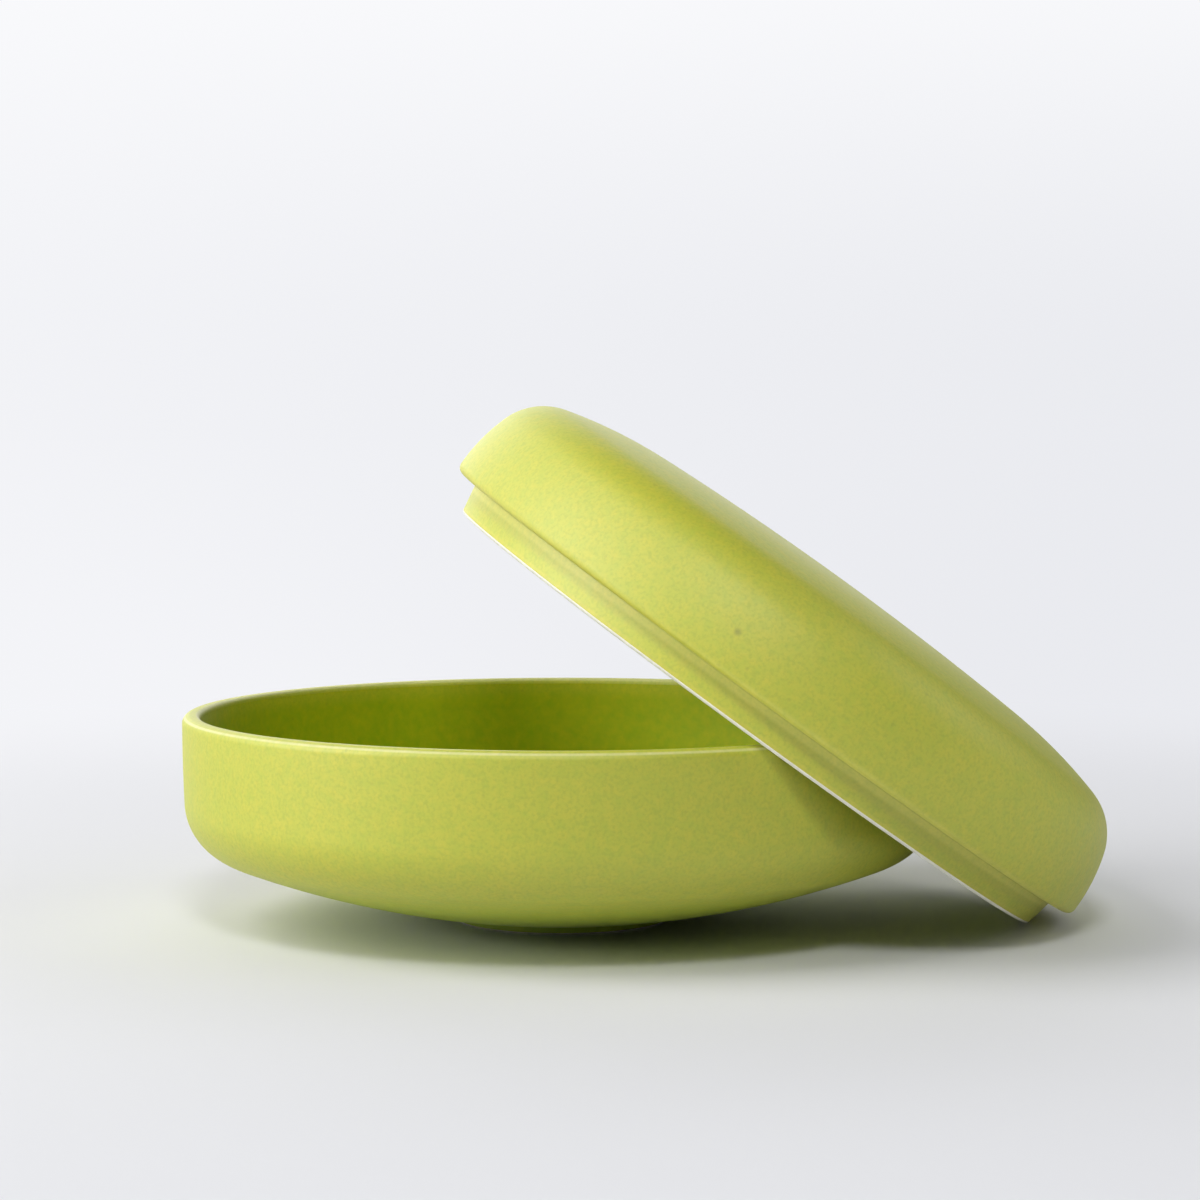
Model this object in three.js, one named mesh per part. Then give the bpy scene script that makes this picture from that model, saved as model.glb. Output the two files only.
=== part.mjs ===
// A low round bowl of glazed porcelain with its domed lid leaning against the rim.
// Millimetres, +Z up. The bowl stands toward -X on its foot ring and the lid leans from +X.
import * as THREE from "three";

const DEG = Math.PI / 180;
const LEVEL = 0;
const UP = 90 * DEG;
const INWARD = 180 * DEG;

// Bowl, outside.
const BOWL_RADIUS = 80;
const FOOT_RADIUS = 22.6;
const FOOT_HEIGHT = 1.7;
const BELLY_RADIUS = 207;
const BELLY_SLOPE = 21.4 * DEG;
const CORNER_RADIUS = 12.9;
const WALL_HEIGHT = 16.9;
const WALL_LEAN = 2.6 * DEG;
const RIM_OUTER_ROUND = 1.8;

// Bowl, inside and underneath.
const BOWL_WALL = 3.8;
const RIM_INNER_ROUND = 1.0;
const FOOT_RING_WIDTH = 4.2;
const FOOT_ROUND = 0.6;
const FOOT_RECESS = 1.0;

// Lid, outside. Its shoulder is flush with the bowl's rim and its flange drops into the bowl's mouth.
const FLANGE_CLEARANCE = 1.2;
const FLANGE_TAPER = 1.05;
const FLANGE_DEPTH = 6.65;
const FLANGE_OUTER_ROUND = 1.0;
const EDGE_ROUND = 2.3;
const SIDE_RADIUS = 40;
const SIDE_TURN = 18 * DEG;
const SHOULDER_RADIUS = 13.8;
const SHOULDER_TURN = 56 * DEG;
const CROWN_RADIUS = 105;
const CROWN_TURN = 12.4 * DEG;

// Lid, inside.
const LID_WALL = 4.2;
const FLANGE_WALL = 3.9;
const FLANGE_INNER_ROUND = 0.8;
const STEP_RADIUS = 5;
const STEP_END_LEAN = 9 * DEG;

// Resting pose: the lid's lean from level, and the gap that it keeps from the bowl.
const LEAN_ANGLE = 36 * DEG;
const REST_GAP = 0.3;

// Mesh fineness.
const SEGMENTS = 64;
const CHORD_ERROR = 0.05;
const MAX_ARC_STEP = 22.5 * DEG;
const SOLVER_STEPS = 60;

// Finishes.
const GLAZE = new THREE.MeshStandardMaterial({ color: 0xb4bd3a, roughness: 0.42, metalness: 0 });

/** Half of a turned section, drawn with a pen that keeps its place and its heading. */
class Section {
  constructor(radius, height, heading) {
    this.at = new THREE.Vector2(radius, height);
    this.heading = heading;
    this.points = [this.at.clone()];
  }

  /** Draws a straight line to a radius and a height. */
  lineTo(radius, height) {
    this.at.set(radius, height);
    this.points.push(this.at.clone());
    return this;
  }

  /** Draws an arc that starts along the heading. A positive turn bears left. */
  arc(radius, turn) {
    const centreSide = this.heading + Math.sign(turn) * UP;
    const centre = new THREE.Vector2(Math.cos(centreSide), Math.sin(centreSide));
    centre.multiplyScalar(radius).add(this.at);
    const chordStep = 2 * Math.acos(1 - Math.min(CHORD_ERROR / radius, 1));
    const steps = Math.ceil(Math.abs(turn) / Math.min(chordStep, MAX_ARC_STEP));
    const start = this.at.clone();
    for (let step = 1; step <= steps; step += 1) {
      this.points.push(start.clone().rotateAround(centre, (turn * step) / steps));
    }
    this.at.copy(this.points.at(-1));
    this.heading += turn;
    return this;
  }

  /** Turns the pen on the spot. */
  face(heading) {
    this.heading = heading;
    return this;
  }

  /** Draws the arc that ends level on the axis. */
  closeOnAxis() {
    const slope = this.heading - INWARD;
    this.arc(this.at.x / Math.sin(Math.abs(slope)), -slope);
    this.points.at(-1).x = 0;
    return this;
  }

  /** Turns the section about +Z into a solid. */
  turned() {
    const geometry = new THREE.LatheGeometry(this.points, SEGMENTS);
    return geometry.rotateX(UP);
  }
}

// The belly's slope where it leaves the foot, so that belly, corner and wall reach the rim's radius.
const wallSwell = WALL_HEIGHT * Math.tan(WALL_LEAN / 2);
const cornerReach = CORNER_RADIUS * (Math.cos(WALL_LEAN) - Math.sin(BELLY_SLOPE));
const bellyReach = BOWL_RADIUS - wallSwell - cornerReach - FOOT_RADIUS;
const bellyStartSlope = Math.asin(Math.sin(BELLY_SLOPE) - bellyReach / BELLY_RADIUS);
const cornerTurn = UP - WALL_LEAN - BELLY_SLOPE;

/** Draws the bowl's section from under the foot, up the outside and down the inside. */
function bowlSection() {
  const footInside = FOOT_RADIUS - FOOT_RING_WIDTH;
  const section = new Section(0, FOOT_RECESS, LEVEL);
  section.lineTo(footInside, FOOT_RECESS);
  section.lineTo(footInside, 0);
  section.lineTo(FOOT_RADIUS - FOOT_ROUND, 0).arc(FOOT_ROUND, UP);
  section.lineTo(FOOT_RADIUS, FOOT_HEIGHT).face(bellyStartSlope);
  section.arc(BELLY_RADIUS, BELLY_SLOPE - bellyStartSlope);
  section.arc(CORNER_RADIUS, cornerTurn);
  const wallFoot = section.at.y;
  section.arc(WALL_HEIGHT / Math.sin(WALL_LEAN), WALL_LEAN);
  section.arc(RIM_OUTER_ROUND, UP);
  const rimHeight = section.at.y;
  section.lineTo(BOWL_RADIUS - BOWL_WALL + RIM_INNER_ROUND, rimHeight);
  section.arc(RIM_INNER_ROUND, UP);
  section.arc((section.at.y - wallFoot) / Math.sin(WALL_LEAN), -WALL_LEAN);
  section.arc(CORNER_RADIUS - BOWL_WALL, -cornerTurn);
  section.closeOnAxis();
  return { section, rimHeight };
}

// The flange tapers from its root, under the shoulder, to its free edge.
const flangeRootRadius = BOWL_RADIUS - BOWL_WALL - FLANGE_CLEARANCE;
const flangeRadius = flangeRootRadius - FLANGE_TAPER;
const flangeInside = flangeRadius - FLANGE_WALL;
const sideFoot = FLANGE_DEPTH + EDGE_ROUND;

/** Draws the dome from a lean of the side wall to the axis; inset is the depth below the outside. */
function drawDome(section, inset, sideTurn) {
  section.arc(SIDE_RADIUS - inset, sideTurn);
  section.arc(SHOULDER_RADIUS - inset, SHOULDER_TURN);
  section.arc(CROWN_RADIUS - inset, CROWN_TURN);
  section.closeOnAxis();
  return section;
}

/** Draws the lid's section from the inside of the crown, round the flange, to the top of the crown. */
function lidSection() {
  const outside = new Section(flangeInside + FLANGE_INNER_ROUND, 0, LEVEL);
  outside.lineTo(flangeRadius - FLANGE_OUTER_ROUND, 0).arc(FLANGE_OUTER_ROUND, UP);
  outside.lineTo(flangeRootRadius, FLANGE_DEPTH);
  outside.lineTo(BOWL_RADIUS - EDGE_ROUND, FLANGE_DEPTH).face(LEVEL).arc(EDGE_ROUND, UP);
  drawDome(outside, 0, SIDE_TURN);

  // The inside steps out from the flange in two arcs, to keep the wall's thickness behind the shoulder.
  const sideAtStepEnd = BOWL_RADIUS - SIDE_RADIUS * (1 - Math.cos(STEP_END_LEAN));
  const stepEndRadius = sideAtStepEnd - LID_WALL * Math.cos(STEP_END_LEAN);
  const stepEndHeight = sideFoot + (SIDE_RADIUS - LID_WALL) * Math.sin(STEP_END_LEAN);
  const stepReach = (stepEndRadius - flangeInside) / STEP_RADIUS;
  const stepTurn = Math.acos((1 + Math.cos(STEP_END_LEAN) - stepReach) / 2);
  const stepRise = STEP_RADIUS * (2 * Math.sin(stepTurn) + Math.sin(STEP_END_LEAN));
  const inside = new Section(flangeInside + FLANGE_INNER_ROUND, 0, INWARD);
  inside.arc(FLANGE_INNER_ROUND, -UP);
  inside.lineTo(flangeInside, stepEndHeight - stepRise);
  inside.arc(STEP_RADIUS, -stepTurn);
  inside.arc(STEP_RADIUS, stepTurn + STEP_END_LEAN);
  drawDome(inside, LID_WALL, SIDE_TURN - STEP_END_LEAN);

  outside.points = [...inside.points.slice(1).reverse(), ...outside.points];
  return outside;
}

/** The least distance between the centre lines of the rim's outer round and of the flange's inner round. */
function roundsApart(lidX, lidZ, rimHeight) {
  const rimLine = BOWL_RADIUS - RIM_OUTER_ROUND;
  const rimLineHeight = rimHeight - RIM_OUTER_ROUND;
  const flangeLine = flangeInside + FLANGE_INNER_ROUND;
  const apart = (angle) => {
    const along = flangeLine * Math.cos(angle);
    const x = lidX + along * Math.cos(LEAN_ANGLE) + FLANGE_INNER_ROUND * Math.sin(LEAN_ANGLE);
    const z = lidZ - along * Math.sin(LEAN_ANGLE) + FLANGE_INNER_ROUND * Math.cos(LEAN_ANGLE);
    const across = Math.hypot(x, flangeLine * Math.sin(angle));
    return Math.hypot(across - rimLine, z - rimLineHeight);
  };
  // The nearest place is close to the lid's side, a quarter turn from its lowest point.
  let low = UP / 2;
  let high = INWARD - UP / 2;
  for (let step = 0; step < SOLVER_STEPS; step += 1) {
    const first = low + (high - low) / 3;
    const second = high - (high - low) / 3;
    if (apart(first) < apart(second)) high = second;
    else low = first;
  }
  return apart((low + high) / 2);
}

/** Finds where the leaning lid's flange stands: on the floor, and the rest gap away from the bowl's rim. */
function leanPlace(rimHeight) {
  const floorLine = flangeRadius - FLANGE_OUTER_ROUND;
  const lidZ = floorLine * Math.sin(LEAN_ANGLE) + FLANGE_OUTER_ROUND * (1 - Math.cos(LEAN_ANGLE));
  const wanted = RIM_OUTER_ROUND + FLANGE_INNER_ROUND + REST_GAP;
  // Here both centre lines would cross; farther out the distance only grows.
  const rimLine = BOWL_RADIUS - RIM_OUTER_ROUND;
  const flangeLine = flangeInside + FLANGE_INNER_ROUND;
  const rise = lidZ + FLANGE_INNER_ROUND * Math.cos(LEAN_ANGLE) - (rimHeight - RIM_OUTER_ROUND);
  const along = rise / Math.sin(LEAN_ANGLE);
  const crossing = Math.sqrt(rimLine ** 2 - flangeLine ** 2 + along ** 2) - along * Math.cos(LEAN_ANGLE);
  let near = crossing - FLANGE_INNER_ROUND * Math.sin(LEAN_ANGLE);
  let far = near + BOWL_RADIUS;
  for (let step = 0; step < SOLVER_STEPS; step += 1) {
    const middle = (near + far) / 2;
    if (roundsApart(middle, lidZ, rimHeight) < wanted) near = middle;
    else far = middle;
  }
  return new THREE.Vector3(far, 0, lidZ);
}

const { section: bowlProfile, rimHeight } = bowlSection();
const bowl = new THREE.Mesh(bowlProfile.turned(), GLAZE);
bowl.name = "bowl";

const lid = new THREE.Mesh(lidSection().turned(), GLAZE);
lid.name = "lid";
lid.rotation.y = LEAN_ANGLE;
lid.position.copy(leanPlace(rimHeight));

const container = new THREE.Group();
container.name = "container_with_lid";
container.add(bowl, lid);

// The shared origin is the middle of the underside of the whole box.
container.updateMatrixWorld(true);
const box = new THREE.Box3().setFromObject(container, true);
container.position.set(-(box.min.x + box.max.x) / 2, -(box.min.y + box.max.y) / 2, -box.min.z);
container.updateMatrixWorld(true);

export default container;
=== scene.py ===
"""Looks for a low porcelain bowl with its domed lid leaning on the rim."""
import logging
from dataclasses import dataclass
from enum import Enum
from functools import reduce
from math import acos, asin, ceil, copysign, cos, pi, radians, sin, tan
from typing import Any, Optional, Union

import bmesh
import bpy
from mathutils import Matrix, Vector


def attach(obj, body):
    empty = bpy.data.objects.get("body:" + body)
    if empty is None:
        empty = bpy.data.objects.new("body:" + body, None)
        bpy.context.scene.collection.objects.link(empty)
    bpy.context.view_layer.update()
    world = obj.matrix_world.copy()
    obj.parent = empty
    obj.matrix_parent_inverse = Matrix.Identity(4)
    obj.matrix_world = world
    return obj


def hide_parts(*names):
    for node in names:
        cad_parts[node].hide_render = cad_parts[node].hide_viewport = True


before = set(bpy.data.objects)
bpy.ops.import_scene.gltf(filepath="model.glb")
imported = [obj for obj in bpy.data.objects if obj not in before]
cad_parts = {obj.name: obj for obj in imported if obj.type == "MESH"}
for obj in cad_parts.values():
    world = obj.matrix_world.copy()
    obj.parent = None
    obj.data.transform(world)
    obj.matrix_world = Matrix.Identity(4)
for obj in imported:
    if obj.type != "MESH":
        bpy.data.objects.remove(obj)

LOG = logging.getLogger("lidded_bowl")

MM = 0.001
UP = pi / 2
INWARD = pi
RGB = tuple[float, float, float]


class Skin(Enum):
    """Which finish a face carries; the value is its material slot."""

    GLAZED = 0
    BARE = 1
    HOLLOW = 2


class MathStep(Enum):
    """The Math node operations that the finishes use."""

    ADD = "ADD"
    SUBTRACT = "SUBTRACT"
    MULTIPLY = "MULTIPLY"
    DIVIDE = "DIVIDE"
    POWER = "POWER"
    MOST = "MAXIMUM"


@dataclass(frozen=True)
class Seat:
    """Where a turned piece's own axis and base lie in the model."""

    x: float
    z: float
    lean: float

    def matrix(self) -> Matrix:
        """The move from the piece's own frame to the model's."""
        return Matrix.Translation((self.x, 0.0, self.z)) @ Matrix.Rotation(self.lean, 4, "Y")


def place_object(name: str, data: bpy.types.ID) -> bpy.types.Object:
    """Adds an object to the scene, at the origin.

    Args:
        name: The object's name.
        data: Its mesh, lamp or camera.

    Returns:
        The object.
    """
    made = bpy.data.objects.new(name, data)
    bpy.context.scene.collection.objects.link(made)
    return made


class SectionPen:
    """Draws half a section in the XZ plane as one chain of edges.

    The pen keeps its tip and its heading, so an arc starts the way the last stroke ended.
    """

    ARC_STEP = radians(7.5)
    FEWEST_STEPS = 2
    CHORD_ERROR = 0.004 * MM
    MERGE_DISTANCE = 0.002 * MM
    AROUND = 192

    def __init__(self, radius: float, height: float, heading: float = 0.0) -> None:
        """Puts the pen down at a radius and a height.

        Args:
            radius: Distance from the piece's axis.
            height: Height above the piece's base.
            heading: Direction of the next arc, turned from +X toward +Z.
        """
        self.mesh = bmesh.new()
        self.skins = self.mesh.verts.layers.int.new("skin")
        self.tip = self.mesh.verts.new((radius, 0.0, height))
        self.heading = heading

    @property
    def radius(self) -> float:
        """The tip's distance from the axis."""
        return self.tip.co.x

    @property
    def height(self) -> float:
        """The tip's height."""
        return self.tip.co.z

    def jump(self, vertex: bmesh.types.BMVert, heading: float) -> None:
        """Goes on from another vertex of the chain with a new heading."""
        self.tip = vertex
        self.heading = heading

    def take_skin(self, skin: Skin) -> None:
        """Marks the tip with a finish, which the strokes that grow from it carry on."""
        self.tip[self.skins] = skin.value

    def line_to(self, radius: float, height: float) -> None:
        """Draws a straight stroke and keeps the heading.

        Args:
            radius: The stroke's end, as a distance from the axis.
            height: The end's height.
        """
        stroke = Vector((radius, 0.0, height)) - self.tip.co
        grown = bmesh.ops.extrude_vert_indiv(self.mesh, verts=[self.tip])
        self.tip = grown["verts"][0]
        bmesh.ops.translate(self.mesh, verts=[self.tip], vec=stroke)

    def arc(self, radius: float, turn: float) -> None:
        """Draws an arc that starts along the heading.

        Args:
            radius: The arc's radius.
            turn: The angle it turns through; a positive one bears left.
        """
        side = self.heading + copysign(UP, turn)
        centre = self.tip.co + radius * Vector((cos(side), 0.0, sin(side)))
        chord = 2 * acos(1 - min(self.CHORD_ERROR / radius, 1))
        steps = max(self.FEWEST_STEPS, ceil(abs(turn) / min(chord, self.ARC_STEP)))
        swept = bmesh.ops.spin(self.mesh, geom=[self.tip], cent=centre, axis=(0.0, -1.0, 0.0),
                               angle=turn, steps=steps, use_duplicate=False)
        self.tip = next(item for item in swept["geom_last"] if isinstance(item, bmesh.types.BMVert))
        self.heading += turn

    def close_on_axis(self) -> None:
        """Draws the arc that ends level on the axis."""
        slope = self.heading - INWARD
        self.arc(self.radius / sin(abs(slope)), -slope)
        self.tip.co.x = 0.0

    def turned(self) -> bmesh.types.BMesh:
        """Turns the chain once round the axis.

        Returns:
            The closed mesh, still in the piece's own frame.
        """
        chain = [*self.mesh.verts, *self.mesh.edges]
        bmesh.ops.spin(self.mesh, geom=chain, cent=(0.0, 0.0, 0.0), axis=(0.0, 0.0, 1.0),
                       angle=2 * pi, steps=self.AROUND, use_merge=True, use_duplicate=False)
        bmesh.ops.remove_doubles(self.mesh, verts=self.mesh.verts, dist=self.MERGE_DISTANCE)
        bmesh.ops.recalc_face_normals(self.mesh, faces=self.mesh.faces)
        return self.mesh


Value = Union["Shade", float]


class Shade:
    """A value socket whose Python arithmetic adds Math nodes."""

    def __init__(self, bench: "Bench", socket: bpy.types.NodeSocket) -> None:
        """Wraps a socket of the bench's node tree."""
        self.bench = bench
        self.socket = socket

    def _step(self, step: MathStep, first: Value, second: Value) -> "Shade":
        """Adds one Math node."""
        made = self.bench.node("ShaderNodeMath", {"operation": step.value}, {0: first, 1: second})
        return self.bench.value(made)

    def __add__(self, other: Value) -> "Shade":
        """This value plus another."""
        return self._step(MathStep.ADD, self, other)

    def __radd__(self, other: Value) -> "Shade":
        """Another value plus this one."""
        return self._step(MathStep.ADD, other, self)

    def __sub__(self, other: Value) -> "Shade":
        """This value less another."""
        return self._step(MathStep.SUBTRACT, self, other)

    def __rsub__(self, other: Value) -> "Shade":
        """Another value less this one."""
        return self._step(MathStep.SUBTRACT, other, self)

    def __mul__(self, other: Value) -> "Shade":
        """This value times another."""
        return self._step(MathStep.MULTIPLY, self, other)

    def __rmul__(self, other: Value) -> "Shade":
        """Another value times this one."""
        return self._step(MathStep.MULTIPLY, other, self)

    def __truediv__(self, other: Value) -> "Shade":
        """This value over another."""
        return self._step(MathStep.DIVIDE, self, other)

    def __pow__(self, other: Value) -> "Shade":
        """This value to a power."""
        return self._step(MathStep.POWER, self, other)

    def most(self, other: Value) -> "Shade":
        """The larger of this value and another."""
        return self._step(MathStep.MOST, self, other)


class Bench:
    """Builds one node tree."""

    MIX_AMOUNT = 0
    MIX_FIRST_COLOUR = 6
    MIX_SECOND_COLOUR = 7
    MIX_COLOUR_RESULT = 2
    NOISE_MIDDLE = 0.5

    def __init__(self, tree: bpy.types.NodeTree) -> None:
        """Clears the tree and takes it over."""
        self.tree = tree
        tree.nodes.clear()

    def node(self, kind: str, settings: dict[str, Any], sockets: dict[Any, Any]) -> bpy.types.Node:
        """Adds a node.

        Args:
            kind: The node's type.
            settings: Attributes, set before the sockets.
            sockets: Values, sockets or shades by input name or number.

        Returns:
            The new node.
        """
        made = self.tree.nodes.new(kind)
        for name, value in settings.items():
            setattr(made, name, value)
        for key, value in sockets.items():
            source = value.socket if isinstance(value, Shade) else value
            if isinstance(source, bpy.types.NodeSocket):
                self.tree.links.new(source, made.inputs[key])
            else:
                made.inputs[key].default_value = source
        return made

    def value(self, node: bpy.types.Node, output: Union[int, str] = 0) -> Shade:
        """A node's output as a value."""
        return Shade(self, node.outputs[output])

    def noise(self, place: bpy.types.NodeSocket, scale: float, detail: float) -> Shade:
        """Noise about zero, from -0.5 to 0.5, with features of about 1 / scale metres."""
        made = self.node("ShaderNodeTexNoise", {}, {"Vector": place, "Scale": scale, "Detail": detail})
        return self.value(made) - self.NOISE_MIDDLE

    def rise(self, value: Value, low: float, high: float) -> Shade:
        """A smooth step from 0 at low to 1 at high; it falls where low is above high."""
        made = self.node("ShaderNodeMapRange", {"interpolation_type": "SMOOTHSTEP"},
                         {"Value": value, "From Min": low, "From Max": high})
        return self.value(made)

    def blend(self, amount: Value, first: Any, second: Any) -> bpy.types.NodeSocket:
        """Mixes two colours.

        Args:
            amount: The second colour's share.
            first: A colour or a colour socket.
            second: A colour or a colour socket.

        Returns:
            The mixed colour's socket.
        """
        pair = [(*c, 1.0) if isinstance(c, tuple) else c for c in (first, second)]
        made = self.node("ShaderNodeMix", {"data_type": "RGBA", "clamp_factor": True}, {
            self.MIX_AMOUNT: amount,
            self.MIX_FIRST_COLOUR: pair[0],
            self.MIX_SECOND_COLOUR: pair[1],
        })
        return made.outputs[self.MIX_COLOUR_RESULT]

    def object_place(self) -> bpy.types.NodeSocket:
        """The point in Object coordinates, which are the model's."""
        return self.node("ShaderNodeTexCoord", {}, {}).outputs["Object"]

    def own_place(self, seat: Seat) -> bpy.types.NodeSocket:
        """Moves the point into a piece's own frame.

        Args:
            seat: The piece's place in the model.

        Returns:
            The moved point's socket.
        """
        made = self.node("ShaderNodeMapping", {"vector_type": "TEXTURE"}, {
            "Vector": self.object_place(),
            "Location": (seat.x, 0.0, seat.z),
            "Rotation": (0.0, seat.lean, 0.0),
        })
        return made.outputs[0]

    def split(self, point: bpy.types.NodeSocket) -> tuple[Shade, ...]:
        """A point's x, y and z."""
        parts = self.node("ShaderNodeSeparateXYZ", {}, {0: point}).outputs
        return tuple(Shade(self, part) for part in parts)

    def section_place(self, place: bpy.types.NodeSocket) -> tuple[Shade, Shade]:
        """A point's radius and height about the Z axis."""
        x, y, height = self.split(place)
        return (x * x + y * y) ** 0.5, height

    def surface(self, shader: bpy.types.Node) -> None:
        """Makes a shader the material's surface."""
        self.node("ShaderNodeOutputMaterial", {}, {"Surface": shader.outputs[0]})


def new_material(name: str) -> tuple[bpy.types.Material, Bench]:
    """Makes an empty material.

    Args:
        name: The material's name.

    Returns:
        The material and the bench that builds its nodes.
    """
    material = bpy.data.materials.new(name)
    material.use_nodes = True
    return material, Bench(material.node_tree)


@dataclass(frozen=True)
class RingOfBreakAndPaintedLight:
    """A ring along an edge or a corner with its own colour; some rings are glaze breaks, some painted
    highlights and shadows.
    """

    radius: float
    height: float
    width: float
    strength: float
    colour: RGB = (0.800, 0.790, 0.420)
    core: float = 0.25

    def mask(self, bench: Bench, radius: Shade, height: Shade) -> Shade:
        """How far the ring's colour covers a point of the section.

        Args:
            bench: The node tree.
            radius: The point's distance from the piece's axis.
            height: The point's height above the piece's base.

        Returns:
            The ring's mask, from 0 to its strength.
        """
        across = radius - self.radius
        along = height - self.height
        away = (across * across + along * along) ** 0.5
        return bench.rise(away, self.width, self.core * self.width) * self.strength


@dataclass(frozen=True)
class SpeckLayer:
    """Iron specks of one size, one to a cell, in those cells whose dice falls high enough."""

    scale: float
    size: float
    least_dice: float
    strength: float
    core: float = 0.3
    dice_fade: float = 0.1

    def mask(self, bench: Bench, place: bpy.types.NodeSocket) -> Shade:
        """How far the specks darken the glaze.

        Args:
            bench: The node tree.
            place: The point in the piece's own frame.

        Returns:
            The specks' mask, from 0 to their strength.
        """
        cells = bench.node("ShaderNodeTexVoronoi", {}, {"Vector": place, "Scale": self.scale})
        dice = bench.node("ShaderNodeSeparateColor", {}, {0: cells.outputs["Color"]})
        speck = bench.rise(bench.value(cells, "Distance"), self.size, self.core * self.size)
        chosen = bench.rise(bench.value(dice), self.least_dice, self.least_dice + self.dice_fade)
        return speck * chosen * self.strength


@dataclass(frozen=True)
class IronSpot:
    """One soft dark spot in the glaze, at a point in the piece's own frame."""

    point: tuple[float, float, float]
    width: float
    strength: float
    core: float = 0.1

    def mask(self, bench: Bench, place: bpy.types.NodeSocket) -> Shade:
        """How far the spot darkens the glaze.

        Args:
            bench: The node tree.
            place: The point in the piece's own frame.

        Returns:
            The spot's mask, from 0 to its strength.
        """
        made = bench.node("ShaderNodeVectorMath", {"operation": "DISTANCE"}, {0: place, 1: self.point})
        away = bench.value(made, "Value")
        return bench.rise(away, self.width, self.core * self.width) * self.strength


@dataclass(frozen=True)
class PoolAndPaintedShading:
    """The heights between which the colour goes from plain to deep, and its look where it is deep:
    thicker glaze, with painted shade in hollows and painted light on the bowl's lower belly.
    """

    plain_at: float
    deep_at: float
    specular_level: float = 0.25
    green: RGB = (0.295, 0.425, 0.001)
    yellow: RGB = (0.490, 0.500, 0.002)


@dataclass(frozen=True)
class LimeGlaze:
    """Satin lime glaze: a clouded green with fine freckles; rings on edges and deep colour in hollows
    hold glaze breaks and pools along with painted light and shade.
    """

    green: RGB = (0.430, 0.500, 0.016)
    yellow: RGB = (0.572, 0.537, 0.022)
    freckle: RGB = (0.300, 0.380, 0.018)
    speck: RGB = (0.090, 0.100, 0.010)
    cloud_scale: float = 55.0
    mottle_scale: float = 520.0
    fine_scale: float = 1500.0
    noise_detail: float = 3.0
    even_tone: float = 0.5
    cloud_tone: float = 0.45
    mottle_tone: float = 1.45
    freckle_start: float = -0.10
    freckle_full: float = 0.24
    freckle_share: float = 0.38
    ring_mottle: float = 0.8
    speck_layers: tuple[SpeckLayer, ...] = (
        SpeckLayer(420.0, 0.22, 0.80, 0.12),
        SpeckLayer(70.0, 0.045, 0.86, 0.55),
    )
    fine_relief: float = 0.35
    mottle_relief: float = 0.9
    cloud_relief: float = 0.6
    relief_strength: float = 0.10
    relief_depth: float = 0.6 * MM
    roughness: float = 0.57
    fine_roughness: float = 0.12
    mottle_roughness: float = 0.08
    ior: float = 1.60
    specular_level: float = 0.90
    sheen: float = 0.05
    sheen_roughness: float = 0.40

    def make(self, name: str, seat: Seat, breaks_and_painted_light: tuple[RingOfBreakAndPaintedLight, ...],
             pool_and_shade: Optional[PoolAndPaintedShading] = None, spots: tuple[IronSpot, ...] = ()) -> bpy.types.Material:
        """Makes the finish for one piece.

        Args:
            name: The material's name.
            seat: The piece's place, which centres and turns the pattern.
            breaks_and_painted_light: The rings of glaze break and of painted highlight and shadow.
            pool_and_shade: Where the colour deepens, as thicker glaze and painted light and shade, if it
                does.
            spots: The iron spots that stand out.

        Returns:
            The material.
        """
        material, bench = new_material(name)
        place = bench.own_place(seat)
        radius, height = bench.section_place(place)

        cloud = bench.noise(place, self.cloud_scale, self.noise_detail)
        mottle = bench.noise(place, self.mottle_scale, self.noise_detail)
        fine = bench.noise(place, self.fine_scale, self.noise_detail)
        tone = self.even_tone + cloud * self.cloud_tone + mottle * self.mottle_tone
        freckled = bench.rise(fine, self.freckle_start, self.freckle_full) * self.freckle_share
        colour = bench.blend(tone, self.green, self.yellow)
        colour = bench.blend(freckled, colour, self.freckle)
        # Toward the pool's deep end the colour deepens: thicker glaze, with painted shade in the hollows
        # and painted light on the bowl's lower belly.
        if pool_and_shade is not None:
            deep_share = bench.rise(height, pool_and_shade.plain_at, pool_and_shade.deep_at)
            colour = bench.blend(deep_share, colour, bench.blend(tone, pool_and_shade.green, pool_and_shade.yellow))
        # Edge rings: glaze breaks, and painted highlights and shadows on the lid's shoulder, groove and
        # flange and on the bowl's rim.
        for ring in breaks_and_painted_light:
            ring_share = ring.mask(bench, radius, height) * (1.0 + mottle * self.ring_mottle)
            colour = bench.blend(ring_share, colour, ring.colour)
        marks = [mark.mask(bench, place) for mark in (*self.speck_layers, *spots)]
        colour = bench.blend(reduce(Shade.most, marks), colour, self.speck)

        relief = fine * self.fine_relief + mottle * self.mottle_relief + cloud * self.cloud_relief
        bump = bench.node("ShaderNodeBump", {}, {
            "Height": relief,
            "Strength": self.relief_strength,
            "Distance": self.relief_depth,
        })
        shader = bench.node("ShaderNodeBsdfPrincipled", {}, {
            "Base Color": colour,
            "Roughness": self.roughness + fine * self.fine_roughness + mottle * self.mottle_roughness,
            "IOR": self.ior,
            "Specular IOR Level": self.specular_level if pool_and_shade is None else pool_and_shade.specular_level,
            "Sheen Weight": self.sheen,
            "Sheen Roughness": self.sheen_roughness,
            "Normal": bump.outputs[0],
        })
        bench.surface(shader)
        return material


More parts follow.
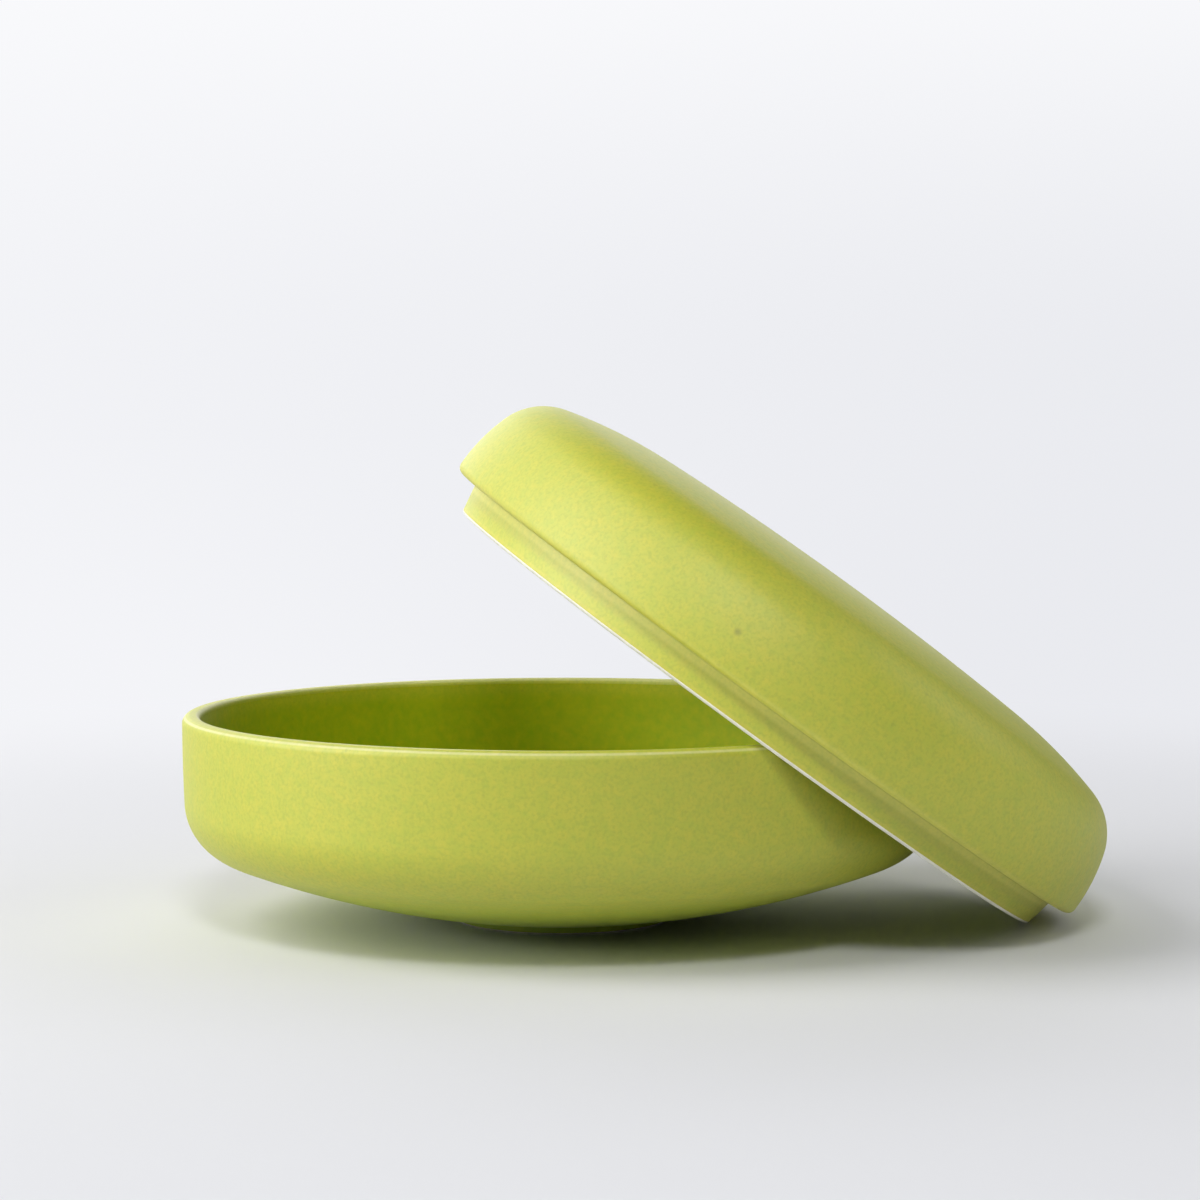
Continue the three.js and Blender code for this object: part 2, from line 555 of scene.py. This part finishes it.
@dataclass(frozen=True)
class BarePorcelain:
    """Unglazed porcelain: off-white, dry and very fine in grain."""

    clay: RGB = (0.930, 0.915, 0.820)
    stain: RGB = (0.850, 0.820, 0.710)
    grain_scale: float = 3000.0
    patch_scale: float = 180.0
    noise_detail: float = 2.0
    even_stain: float = 0.3
    patch_stain: float = 1.2
    grain_stain: float = 0.6
    relief_strength: float = 0.2
    relief_depth: float = 0.2 * MM
    roughness: float = 0.75
    grain_roughness: float = 0.15

    def make(self, name: str, seat: Seat) -> bpy.types.Material:
        """Makes the finish for one piece.

        Args:
            name: The material's name.
            seat: The piece's place.

        Returns:
            The material.
        """
        material, bench = new_material(name)
        place = bench.own_place(seat)
        grain = bench.noise(place, self.grain_scale, self.noise_detail)
        patch = bench.noise(place, self.patch_scale, self.noise_detail)
        stained = self.even_stain + patch * self.patch_stain + grain * self.grain_stain
        bump = bench.node("ShaderNodeBump", {}, {
            "Height": grain,
            "Strength": self.relief_strength,
            "Distance": self.relief_depth,
        })
        shader = bench.node("ShaderNodeBsdfPrincipled", {}, {
            "Base Color": bench.blend(stained, self.clay, self.stain),
            "Roughness": self.roughness + grain * self.grain_roughness,
            "Normal": bump.outputs[0],
        })
        bench.surface(shader)
        return material


@dataclass
class TurnedPiece:
    """A piece turned about its own axis, glazed but for its bare lower edge."""

    SHARP_ANGLE = radians(40)

    name: str
    body: str
    slot: str
    seat: Seat
    bare_height: float
    hollow_pool_and_shade: PoolAndPaintedShading
    outside_pool_and_light: Optional[PoolAndPaintedShading] = None
    breaks_and_painted_light: tuple[RingOfBreakAndPaintedLight, ...] = ()
    spots: tuple[IronSpot, ...] = ()

    def section(self) -> SectionPen:
        """Draws the half section in the piece's own frame."""
        raise NotImplementedError

    def build(self) -> bpy.types.Object:
        """Turns the section and sets the piece in its place.

        Returns:
            The piece's object, at the origin.
        """
        pen = self.section()
        solid = pen.turned()
        for face in solid.faces:
            face.smooth = True
            face.material_index = self._skin(face, pen.skins).value
        solid.verts.layers.int.remove(pen.skins)
        bmesh.ops.transform(solid, matrix=self.seat.matrix(), verts=solid.verts)
        mesh = bpy.data.meshes.new(self.name)
        solid.to_mesh(mesh)
        solid.free()
        mesh.set_sharp_from_angle(angle=self.SHARP_ANGLE)
        return place_object(self.name, mesh)

    def _skin(self, face: bmesh.types.BMFace, marks: bmesh.types.BMLayerItem) -> Skin:
        """Picks a face's finish, while the piece is still in its own frame.

        Args:
            face: The face.
            marks: The vertex layer that holds the pen's finishes.

        Returns:
            The finish.
        """
        if face.calc_center_median().z < self.bare_height:
            return Skin.BARE
        return Skin(min(vertex[marks] for vertex in face.verts))

    def dress(self, piece: bpy.types.Object, glaze: LimeGlaze, clay: BarePorcelain) -> None:
        """Puts the finishes on and joins the piece to its body.

        Args:
            piece: The built object.
            glaze: The finish of the glazed faces, outside and in the hollow.
            clay: The finish of the bare faces.
        """
        finishes = {
            Skin.GLAZED: glaze.make(f"{self.name}_glaze", self.seat, self.breaks_and_painted_light,
                                    self.outside_pool_and_light, self.spots),
            Skin.BARE: clay.make(f"{self.name}_bare", self.seat),
            Skin.HOLLOW: glaze.make(f"{self.name}_hollow_shaded", self.seat, self.breaks_and_painted_light, self.hollow_pool_and_shade),
        }
        for skin in sorted(finishes, key=lambda item: item.value):
            piece.data.materials.append(finishes[skin])
        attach(piece, self.body)
        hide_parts(self.body)


@dataclass
class Bowl(TurnedPiece):
    """The low bowl: foot ring, curved belly, upright wall and a flat rim."""

    name: str = "bowl_shell"
    body: str = "bowl"
    slot: str = "bowl_glaze"
    seat: Seat = Seat(-17.4817 * MM, 0.0, 0.0)
    bare_height: float = 0.45 * MM
    # Deeper green inside, just below the rim: thicker glaze and painted shade in the hollow.
    hollow_pool_and_shade: PoolAndPaintedShading = PoolAndPaintedShading(43.6 * MM, 39.0 * MM)
    # Greener, lighter colour toward the foot: glaze run thick there, and painted light that lifts the
    # lower belly.
    outside_pool_and_light: Optional[PoolAndPaintedShading] = PoolAndPaintedShading(
        18.0 * MM, 3.0 * MM, 0.90, (0.450, 0.630, 0.004), (0.575, 0.650, 0.006))
    breaks_and_painted_light: tuple[RingOfBreakAndPaintedLight, ...] = (
        # Pale rings on the rim's outer and inner rounds: glaze thinning on the edges, and a painted
        # highlight where the rounds face the lamps.
        RingOfBreakAndPaintedLight(79.5 * MM, 43.9 * MM, 0.5 * MM, 0.50),
        RingOfBreakAndPaintedLight(76.7 * MM, 44.2 * MM, 0.7 * MM, 0.45),
    )
    rim_radius: float = 80.0 * MM
    wall: float = 3.8 * MM
    foot_radius: float = 22.6 * MM
    foot_width: float = 4.2 * MM
    foot_height: float = 1.7 * MM
    foot_round: float = 0.6 * MM
    foot_recess: float = 1.0 * MM
    belly_radius: float = 207.0 * MM
    belly_slope: float = radians(21.4)
    corner_radius: float = 12.9 * MM
    wall_height: float = 16.9 * MM
    wall_lean: float = radians(2.6)
    rim_outer_round: float = 1.8 * MM
    rim_inner_round: float = 1.2 * MM

    def section(self) -> SectionPen:
        """Draws the section from under the foot, up the outside and down the inside.

        Returns:
            The pen with the finished chain.
        """
        swell = self.wall_height * tan(self.wall_lean / 2)
        corner_reach = self.corner_radius * (cos(self.wall_lean) - sin(self.belly_slope))
        belly_reach = self.rim_radius - swell - corner_reach - self.foot_radius
        start_slope = asin(sin(self.belly_slope) - belly_reach / self.belly_radius)
        corner_turn = UP - self.wall_lean - self.belly_slope
        foot_inside = self.foot_radius - self.foot_width

        pen = SectionPen(0.0, self.foot_recess)
        pen.line_to(foot_inside, self.foot_recess)
        pen.line_to(foot_inside, 0.0)
        pen.line_to(self.foot_radius - self.foot_round, 0.0)
        pen.arc(self.foot_round, UP)
        pen.line_to(self.foot_radius, self.foot_height)
        pen.jump(pen.tip, start_slope)
        pen.arc(self.belly_radius, self.belly_slope - start_slope)
        pen.arc(self.corner_radius, corner_turn)
        wall_foot = pen.height
        pen.arc(self.wall_height / sin(self.wall_lean), self.wall_lean)
        pen.arc(self.rim_outer_round, UP)
        pen.line_to(self.rim_radius - self.wall + self.rim_inner_round, pen.height)
        pen.arc(self.rim_inner_round, UP)
        pen.take_skin(Skin.HOLLOW)
        pen.arc((pen.height - wall_foot) / sin(self.wall_lean), -self.wall_lean)
        pen.arc(self.corner_radius - self.wall, -corner_turn)
        pen.close_on_axis()
        return pen


@dataclass
class Lid(TurnedPiece):
    """The domed lid: a tapered flange, a flush shoulder and a low crown."""

    name: str = "lid_shell"
    body: str = "lid"
    slot: str = "lid_glaze"
    seat: Seat = Seat(21.1436 * MM, 43.0699 * MM, radians(36))
    bare_height: float = 0.58 * MM
    # Deeper green deep under the dome: thicker glaze and painted shade in the hollow.
    hollow_pool_and_shade: PoolAndPaintedShading = PoolAndPaintedShading(2.0 * MM, 12.0 * MM)
    breaks_and_painted_light: tuple[RingOfBreakAndPaintedLight, ...] = (
        # Pale ring on the round under the shoulder: painted light that lifts the round's shade, on glaze
        # that thins at the edge.
        RingOfBreakAndPaintedLight(79.3 * MM, 7.0 * MM, 1.4 * MM, 0.36, (0.780, 0.720, 0.120)),
        # Dark ring across the middle of the flange: a painted shadow of the shoulder's overhang.
        RingOfBreakAndPaintedLight(74.6 * MM, 4.2 * MM, 1.4 * MM, 0.20, (0.360, 0.330, 0.050)),
        # Light ring on the flange just under the groove: painted light that lifts the shoulder's shadow.
        RingOfBreakAndPaintedLight(74.9 * MM, 5.8 * MM, 1.4 * MM, 0.30, (0.840, 0.750, 0.200)),
        # Dark line in the groove under the shoulder: painted shade in the corner, partly glaze pooled
        # there.
        RingOfBreakAndPaintedLight(75.2 * MM, 6.6 * MM, 0.5 * MM, 0.30, (0.200, 0.250, 0.010)),
        RingOfBreakAndPaintedLight(73.9 * MM, 0.9 * MM, 0.8 * MM, 0.25, (0.720, 0.610, 0.060)),
    )
    spots: tuple[IronSpot, ...] = (
        IronSpot((-19.9 * MM, -77.0 * MM, 14.8 * MM), 1.15 * MM, 0.44),
    )
    rim_radius: float = 80.0 * MM
    flange_root: float = 75.0 * MM
    flange_radius: float = 73.95 * MM
    flange_depth: float = 6.65 * MM
    flange_wall: float = 3.9 * MM
    flange_outer_round: float = 1.0 * MM
    flange_inner_round: float = 0.8 * MM
    edge_round: float = 1.7 * MM
    side_foot: float = 8.95 * MM
    side_radius: float = 40.0 * MM
    side_turn: float = radians(18)
    shoulder_radius: float = 13.8 * MM
    shoulder_turn: float = radians(56)
    crown_radius: float = 105.0 * MM
    crown_turn: float = radians(12.4)
    wall: float = 4.2 * MM
    step_radius: float = 5.0 * MM
    step_end_lean: float = radians(9)

    def section(self) -> SectionPen:
        """Draws the outside from the flange to the crown, then the inside back from the flange.

        Returns:
            The pen with the finished chain.
        """
        flange_inside = self.flange_radius - self.flange_wall
        pen = SectionPen(flange_inside + self.flange_inner_round, 0.0)
        start = pen.tip
        pen.line_to(self.flange_radius - self.flange_outer_round, 0.0)
        pen.arc(self.flange_outer_round, UP)
        pen.line_to(self.flange_root, self.flange_depth)
        pen.line_to(self.rim_radius - self.edge_round, self.flange_depth)
        pen.jump(pen.tip, 0.0)
        pen.arc(self.edge_round, UP)
        pen.line_to(self.rim_radius, self.side_foot)
        self._dome(pen, 0.0, self.side_turn)

        side_at_step = self.rim_radius - self.side_radius * (1 - cos(self.step_end_lean))
        step_end = side_at_step - self.wall * cos(self.step_end_lean)
        step_end_height = self.side_foot + (self.side_radius - self.wall) * sin(self.step_end_lean)
        reach = (step_end - flange_inside) / self.step_radius
        step_turn = acos((1 + cos(self.step_end_lean) - reach) / 2)
        rise = self.step_radius * (2 * sin(step_turn) + sin(self.step_end_lean))
        pen.jump(start, INWARD)
        pen.arc(self.flange_inner_round, -UP)
        pen.take_skin(Skin.HOLLOW)
        pen.line_to(flange_inside, step_end_height - rise)
        pen.arc(self.step_radius, -step_turn)
        pen.arc(self.step_radius, step_turn + self.step_end_lean)
        self._dome(pen, self.wall, self.side_turn - self.step_end_lean)
        return pen

    def _dome(self, pen: SectionPen, inset: float, side_turn: float) -> None:
        """Draws side, shoulder and crown to the axis.

        Args:
            pen: The pen, at the side's lower end.
            inset: The depth below the outside.
            side_turn: The angle that is left of the side.
        """
        pen.arc(self.side_radius - inset, side_turn)
        pen.arc(self.shoulder_radius - inset, self.shoulder_turn)
        pen.arc(self.crown_radius - inset, self.crown_turn)
        pen.close_on_axis()


@dataclass(frozen=True)
class SoftBox:
    """A large lamp aimed at the middle of the object."""

    name: str
    azimuth: float
    elevation: float
    width: float
    height: float
    level: float
    tint: RGB = (1.0, 1.0, 1.0)
    distance: float = 1.3

    def light(self, target: Vector) -> None:
        """Hangs the lamp.

        Args:
            target: The point it faces.
        """
        lamp = bpy.data.lights.new(self.name, "AREA")
        lamp.shape = "RECTANGLE"
        lamp.size = self.width
        lamp.size_y = self.height
        lamp.energy = self.level * (pi * self.distance) ** 2
        lamp.color = self.tint
        level_reach = cos(self.elevation)
        away = Vector((
            sin(self.azimuth) * level_reach,
            -cos(self.azimuth) * level_reach,
            sin(self.elevation),
        ))
        holder = place_object(self.name, lamp)
        holder.location = target + self.distance * away
        holder.rotation_euler = (-away).to_track_quat("-Z", "Y").to_euler()
        holder.visible_camera = False


@dataclass
class Studio:
    """The pale floor, the soft lamps and the white surroundings."""

    floor_radius: float = 6.0
    floor_segments: int = 96
    floor_drop: float = 0.02 * MM
    floor_colour: RGB = (0.740, 0.748, 0.775)
    fade_start: float = 0.13
    fade_end: float = 0.50
    left_far: RGB = (0.900, 0.905, 0.935)
    right_far: RGB = (0.820, 0.828, 0.865)
    front_far: RGB = (0.770, 0.780, 0.815)
    top_far: RGB = (0.968, 0.971, 0.988)
    side_reach: float = 0.30
    front_start: float = 0.2
    front_full: float = -0.8
    top_full: float = 0.17
    ambient: float = 0.21
    ambient_low: float = -0.10
    ambient_high: float = 0.50
    dim_gloss: float = 0.02
    bright_gloss: float = 1.0
    gloss_back: float = 0.1
    gloss_full: float = 0.6
    aim_height: float = 45.0 * MM
    boxes: tuple[SoftBox, ...] = (
        SoftBox("left_box", radians(-80), radians(34), 0.95, 1.25, 0.835, (1.0, 0.988, 0.972)),
        SoftBox("left_low_box", radians(-72), radians(15), 0.90, 0.16, 0.12),
        SoftBox("front_box", radians(-3), radians(42), 0.28, 0.24, 0.305),
        SoftBox("back_box", radians(-172), radians(26), 1.50, 0.70, 0.40),
        SoftBox("back_low_box", radians(180), radians(10), 1.20, 0.20, 0.09),
        SoftBox("right_box", radians(90), radians(28), 1.00, 0.80, 0.20),
    )

    def lay_floor(self) -> None:
        """Makes the floor, which keeps the shadow near the object and fades to the backdrop."""
        disc = bmesh.new()
        bmesh.ops.create_circle(disc, cap_ends=True, segments=self.floor_segments,
                                radius=self.floor_radius)
        bmesh.ops.translate(disc, verts=disc.verts, vec=(0.0, 0.0, -self.floor_drop))
        mesh = bpy.data.meshes.new("floor")
        disc.to_mesh(mesh)
        disc.free()
        mesh.materials.append(self._floor_paint())
        floor = place_object("floor", mesh)

    def _floor_paint(self) -> bpy.types.Material:
        """Makes the matt white that turns into the backdrop once it is far from the object.

        Returns:
            The material.
        """
        material, bench = new_material("floor_paint")
        point = bench.object_place()
        radius, _ = bench.section_place(point)
        side, back, _ = bench.split(point)
        horizon = self._far(bench, side / radius, back / radius)
        matt = bench.node("ShaderNodeBsdfDiffuse", {}, {"Color": (*self.floor_colour, 1.0)})
        far = bench.node("ShaderNodeEmission", {}, {"Color": horizon})
        faded = bench.rise(radius, self.fade_start, self.fade_end)
        share = self._level(bench, self.bright_gloss, 0.0) * faded
        mixed = bench.node("ShaderNodeMixShader", {},
                           {0: share, 1: matt.outputs[0], 2: far.outputs[0]})
        bench.surface(mixed)
        return material

    def _far(self, bench: Bench, side: Shade, back: Shade) -> bpy.types.NodeSocket:
        """The backdrop's colour at the horizon.

        Args:
            bench: The node tree.
            side: How far the horizon lies to the right, from -1 to 1.
            back: How far it lies to the back, from -1 to 1.

        Returns:
            The colour, painted lightest behind the object toward the left and darker toward the front,
            as the lamps would light it.
        """
        rightward = bench.rise(side, -self.side_reach, self.side_reach)
        frontward = bench.rise(back, self.front_start, self.front_full)
        across = bench.blend(rightward, self.left_far, self.right_far)
        return bench.blend(frontward, across, self.front_far)

    def _level(self, bench: Bench, gloss: Value, light: Value) -> Shade:
        """The backdrop's brightness by kind of ray.

        Args:
            bench: The node tree.
            gloss: Its brightness in a reflection.
            light: Its brightness as light on a surface.

        Returns:
            The brightness, which is 1 seen straight from the camera or through glass.
        """
        rays = bench.node("ShaderNodeLightPath", {}, {})
        camera, glossy, through = (
            bench.value(rays, name)
            for name in ("Is Camera Ray", "Is Glossy Ray", "Is Transmission Ray")
        )
        seen = camera.most(through)
        return seen + (1.0 - seen) * (glossy * gloss + (1.0 - glossy) * light)

    def surround(self) -> None:
        """Sets the backdrop to look at, its light from above and its bright left in reflections."""
        world = bpy.data.worlds.new("white_room")
        world.use_nodes = True
        bench = Bench(world.node_tree)
        toward = bench.node("ShaderNodeTexCoord", {}, {}).outputs["Generated"]
        side, back, lift = bench.split(toward)
        # The backdrop is also painted lighter toward the top, as the lamps would light it.
        upward = bench.rise(lift, 0.0, self.top_full)
        sky = bench.blend(upward, self._far(bench, side, back), self.top_far)
        leftward = bench.rise(back * self.gloss_back - side, 0.0, self.gloss_full)
        gloss = self.dim_gloss + leftward * (self.bright_gloss - self.dim_gloss)
        light = self.ambient * bench.rise(lift, self.ambient_low, self.ambient_high)
        room = bench.node("ShaderNodeBackground", {},
                          {"Color": sky, "Strength": self._level(bench, gloss, light)})
        bench.node("ShaderNodeOutputWorld", {}, {"Surface": room.outputs[0]})
        bpy.context.scene.world = world

    def light(self) -> None:
        """Hangs every lamp."""
        for box in self.boxes:
            box.light(Vector((0.0, 0.0, self.aim_height)))


@dataclass
class PhotoCamera:
    """The camera at the photograph's viewing angle."""

    pivot_x: float
    distance: float = 700.0 * MM
    aside: float = 8.0613 * MM
    height: float = 113.641 * MM
    azimuth: float = -0.0374936
    pitch: float = 0.0653685
    focal_pixels: float = 3313.866
    image_pixels: float = 1200.0
    sensor: float = 36.0

    def stand(self) -> None:
        """Makes the camera, turned about the bowl's axis, and looks through it."""
        lens = bpy.data.cameras.new("photo_camera")
        lens.sensor_width = self.sensor
        lens.lens = self.focal_pixels * self.sensor / self.image_pixels
        camera = place_object("photo_camera", lens)
        pivot = Vector((self.pivot_x, 0.0, 0.0))
        away = Vector((self.aside, -self.distance, self.height))
        camera.location = pivot + Matrix.Rotation(self.azimuth, 3, "Z") @ away
        camera.rotation_euler = (UP - self.pitch, 0.0, self.azimuth)
        bpy.context.scene.camera = camera


def main() -> None:
    """Builds bowl, lid, studio and camera in order."""
    logging.basicConfig(level=logging.INFO, format="%(message)s")
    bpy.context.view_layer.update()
    bpy.context.scene.view_settings.view_transform = "Standard"

    glaze = LimeGlaze()
    clay = BarePorcelain()
    bowl = Bowl()
    lid = Lid()
    for part in (bowl, lid):
        piece = part.build()
        part.dress(piece, glaze, clay)
        LOG.info("%s: %d faces on body %s", part.name, len(piece.data.polygons), part.body)

    studio = Studio()
    studio.lay_floor()
    studio.surround()
    studio.light()
    PhotoCamera(pivot_x=bowl.seat.x).stand()


if __name__ == "__main__":
    main()
